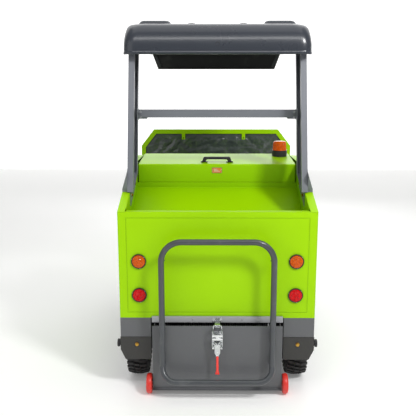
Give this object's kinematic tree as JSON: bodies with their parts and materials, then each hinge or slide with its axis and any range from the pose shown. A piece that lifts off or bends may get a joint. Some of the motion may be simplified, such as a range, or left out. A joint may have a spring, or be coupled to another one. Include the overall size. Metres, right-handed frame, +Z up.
{
  "type": "ride-on sweeper",
  "caption": "Battery ride-on floor sweeper with a canopy on posts, an open rear tub, a lifting hood, a roll-out dust bin with a toggle latch, a roller broom and side brushes.",
  "frame": {"origin": "on the floor, at the centre of the machine's bounding box", "axes": "+Z up, +Y towards the front of the machine, +X to the right seen from behind"},
  "size_m": [1.43, 2.0138, 2.11],
  "materials": {
    "green_paint": "gloss",
    "grey_paint": "satin",
    "dark_paint": "satin",
    "black_paint": "satin",
    "steel_paint": "satin",
    "handle_paint": "satin",
    "strip_paint": "satin",
    "zinc": "satin",
    "brass_plate": "satin",
    "black_plastic": "matte",
    "slate_plastic": "satin",
    "red_plastic": "gloss",
    "grip_vinyl": "gloss",
    "amber_lens": "gloss",
    "red_lens": "gloss",
    "label_plate": "satin",
    "film": "gloss",
    "tyre_rubber": "matte",
    "seat_vinyl": "satin",
    "bristle": "matte",
    "battery_case": "satin"
  },
  "bodies": {
    "chassis": {"chassis_frame": "black_paint", "deck_plate": "black_paint", "side_panels": "green_paint", "rear_panel": "green_paint", "tub_liner": "green_paint", "skirts": "grey_paint", "bumpers": "dark_paint", "bolts": "brass_plate", "side_knobs": "black_plastic", "header_strip": "strip_paint", "latch_keeper": "zinc", "tail_lamp_bezels": "black_plastic", "amber_lenses": "amber_lens", "red_lenses": "red_lens", "filter_box": "grey_paint", "battery_pack": "battery_case", "bulkhead": "green_paint", "posts": "steel_paint", "crossbar": "steel_paint", "canopy_frame": "black_paint", "canopy_shell": "slate_plastic", "canopy_visor": "slate_plastic", "front_shield": "green_paint", "shield_film": "film", "front_cowl": "green_paint", "floor_pan": "black_paint", "seat_box": "black_paint", "steering_console": "black_paint", "broom_housing": "black_paint"},
    "hood": {"hood_lid": "green_paint", "hood_grip": "black_plastic", "hood_label": "label_plate", "beacon_base": "black_plastic", "beacon_lens": "amber_lens"},
    "seat": {"seat_slides": "steel_paint", "seat_cushion": "seat_vinyl", "seat_back": "seat_vinyl"},
    "steering": {"steering_wheel": "black_plastic"},
    "go_pedal": {"pedal_go": "black_plastic"},
    "brake_pedal": {"pedal_brake": "black_plastic"},
    "fork": {"front_fork": "black_paint"},
    "front_wheel": {"front_tyre": "tyre_rubber", "front_rim": "zinc"},
    "rear_left_wheel": {"rear_wheel_left": "tyre_rubber"},
    "rear_right_wheel": {"rear_wheel_right": "tyre_rubber"},
    "broom": {"main_broom": "bristle"},
    "left_arm": {"brush_arm_left": "steel_paint"},
    "right_arm": {"brush_arm_right": "steel_paint"},
    "left_brush": {"side_brush_left": "bristle"},
    "right_brush": {"side_brush_right": "bristle"},
    "bin": {"dust_bin": "grey_paint", "bin_handle": "handle_paint", "latch_base": "zinc"},
    "bin_left_wheel": {"bin_wheel_left": "red_plastic"},
    "bin_right_wheel": {"bin_wheel_right": "red_plastic"},
    "bin_left_roller": {"bin_roller_left": "black_plastic"},
    "bin_right_roller": {"bin_roller_right": "black_plastic"},
    "lever": {"latch_lever": "zinc", "latch_grip": "grip_vinyl"},
    "hook": {"latch_hook": "zinc"}
  },
  "joints": [
    {"name": "hood_hinge", "type": "hinge", "parent": "chassis", "child": "hood", "pos_m": [0, 0.13294, 1.20856], "axis": [-1, 0, 0], "range_deg": [0, 50]},
    {"name": "seat_slide", "type": "slide", "parent": "chassis", "child": "seat", "axis": [0, 1, 0], "range_m": [0, 0.07]},
    {"name": "steering_turn", "type": "hinge", "parent": "chassis", "child": "steering", "pos_m": [0, 0.76794, 0.875], "axis": [0, -0.5, 0.866], "range_deg": [-160, 160]},
    {"name": "fork_turn", "type": "hinge", "parent": "chassis", "child": "fork", "pos_m": [0, 0.60694, 0.4], "axis": [0, 0, 1], "range_deg": [-40, 40]},
    {"name": "front_wheel_spin", "type": "hinge", "parent": "fork", "child": "front_wheel", "pos_m": [0, 0.60694, 0.18], "axis": [1, 0, 0], "continuous": true},
    {"name": "go_pedal_press", "type": "hinge", "parent": "chassis", "child": "go_pedal", "pos_m": [0.18, 0.70694, 0.497], "axis": [-1, 0, 0], "range_deg": [0, 18], "stiffness_Nm_per_rad": 6, "springref_deg": -8.59},
    {"name": "brake_pedal_press", "type": "hinge", "parent": "chassis", "child": "brake_pedal", "pos_m": [-0.18, 0.70694, 0.497], "axis": [-1, 0, 0], "range_deg": [0, 18], "stiffness_Nm_per_rad": 6, "springref_deg": -8.59},
    {"name": "rear_left_wheel_spin", "type": "hinge", "parent": "chassis", "child": "rear_left_wheel", "pos_m": [-0.47, -0.60306, 0.2], "axis": [1, 0, 0], "continuous": true},
    {"name": "rear_right_wheel_spin", "type": "hinge", "parent": "chassis", "child": "rear_right_wheel", "pos_m": [0.47, -0.60306, 0.2], "axis": [1, 0, 0], "continuous": true},
    {"name": "broom_spin", "type": "hinge", "parent": "chassis", "child": "broom", "pos_m": [0, -0.11806, 0.176], "axis": [1, 0, 0], "continuous": true},
    {"name": "left_arm_lift", "type": "hinge", "parent": "chassis", "child": "left_arm", "pos_m": [-0.422, 0.44694, 0.359], "axis": [1, 0, 0], "range_deg": [0, 14]},
    {"name": "left_brush_spin", "type": "hinge", "parent": "left_arm", "child": "left_brush", "pos_m": [-0.5, 0.75694, 0.06], "axis": [0, 0, 1], "continuous": true},
    {"name": "right_arm_lift", "type": "hinge", "parent": "chassis", "child": "right_arm", "pos_m": [0.422, 0.44694, 0.359], "axis": [1, 0, 0], "range_deg": [0, 14]},
    {"name": "right_brush_spin", "type": "hinge", "parent": "right_arm", "child": "right_brush", "pos_m": [0.5, 0.75694, 0.06], "axis": [0, 0, 1], "continuous": true},
    {"name": "bin_slide", "type": "slide", "parent": "chassis", "child": "bin", "axis": [0, -1, 0], "range_m": [0, 0.75]},
    {"name": "bin_left_wheel_spin", "type": "hinge", "parent": "bin", "child": "bin_left_wheel", "pos_m": [-0.386, -0.87906, 0.058], "axis": [1, 0, 0], "continuous": true},
    {"name": "bin_left_roller_spin", "type": "hinge", "parent": "bin", "child": "bin_left_roller", "pos_m": [-0.285, -0.43806, 0.032], "axis": [1, 0, 0], "continuous": true},
    {"name": "bin_right_wheel_spin", "type": "hinge", "parent": "bin", "child": "bin_right_wheel", "pos_m": [0.386, -0.87906, 0.058], "axis": [1, 0, 0], "continuous": true},
    {"name": "bin_right_roller_spin", "type": "hinge", "parent": "bin", "child": "bin_right_roller", "pos_m": [0.285, -0.43806, 0.032], "axis": [1, 0, 0], "continuous": true},
    {"name": "latch_lever_turn", "type": "hinge", "parent": "bin", "child": "lever", "pos_m": [0, -0.92706, 0.318], "axis": [-1, 0, 0], "range_deg": [0, 150]},
    {"name": "latch_hook_turn", "type": "hinge", "parent": "lever", "child": "hook", "pos_m": [0, -0.93906, 0.298], "axis": [-1, 0, 0], "range_deg": [-150, 0]}
  ],
  "couplings": [
    {"joint": "fork_turn", "follows": "steering_turn", "ratio": 0.25},
    {"joint": "latch_hook_turn", "follows": "latch_lever_turn", "ratio": -1}
  ]
}
